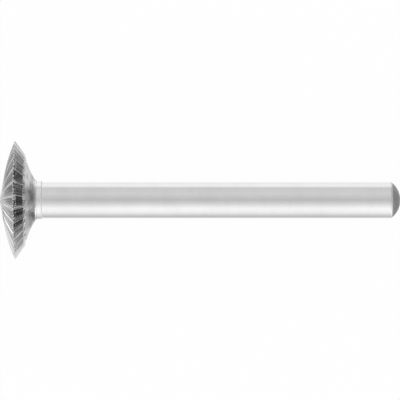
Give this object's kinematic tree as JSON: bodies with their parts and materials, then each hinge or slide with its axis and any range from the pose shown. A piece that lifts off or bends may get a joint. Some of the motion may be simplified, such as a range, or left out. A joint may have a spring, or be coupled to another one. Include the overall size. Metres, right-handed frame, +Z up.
{
  "type": "rotary burr",
  "caption": "Carbide rotary burr: a lens-shaped disc with teeth on both faces and a sharp rim, brazed to a slim ground steel shank.",
  "frame": {"origin": "middle of the bounding box, on the surface that the burr lies on", "axes": "+X along the burr from the nose towards the free end of the shank, +Z up; the burr's own axis leans 6.2 degrees down from +X, because it lies on its rim and on the shank's free end"},
  "size_m": [0.0328, 0.0098, 0.0097],
  "materials": {
    "carbide": "ground tungsten carbide, satin, darker on the neck that is left as sintered",
    "solder": "silver solder, satin",
    "shank_steel": "fine ground steel, with a dark heat-treated free end"
  },
  "bodies": {
    "root": {"cutting_head": "carbide", "braze_joint": "solder", "shank": "shank_steel"}
  },
  "joints": []
}
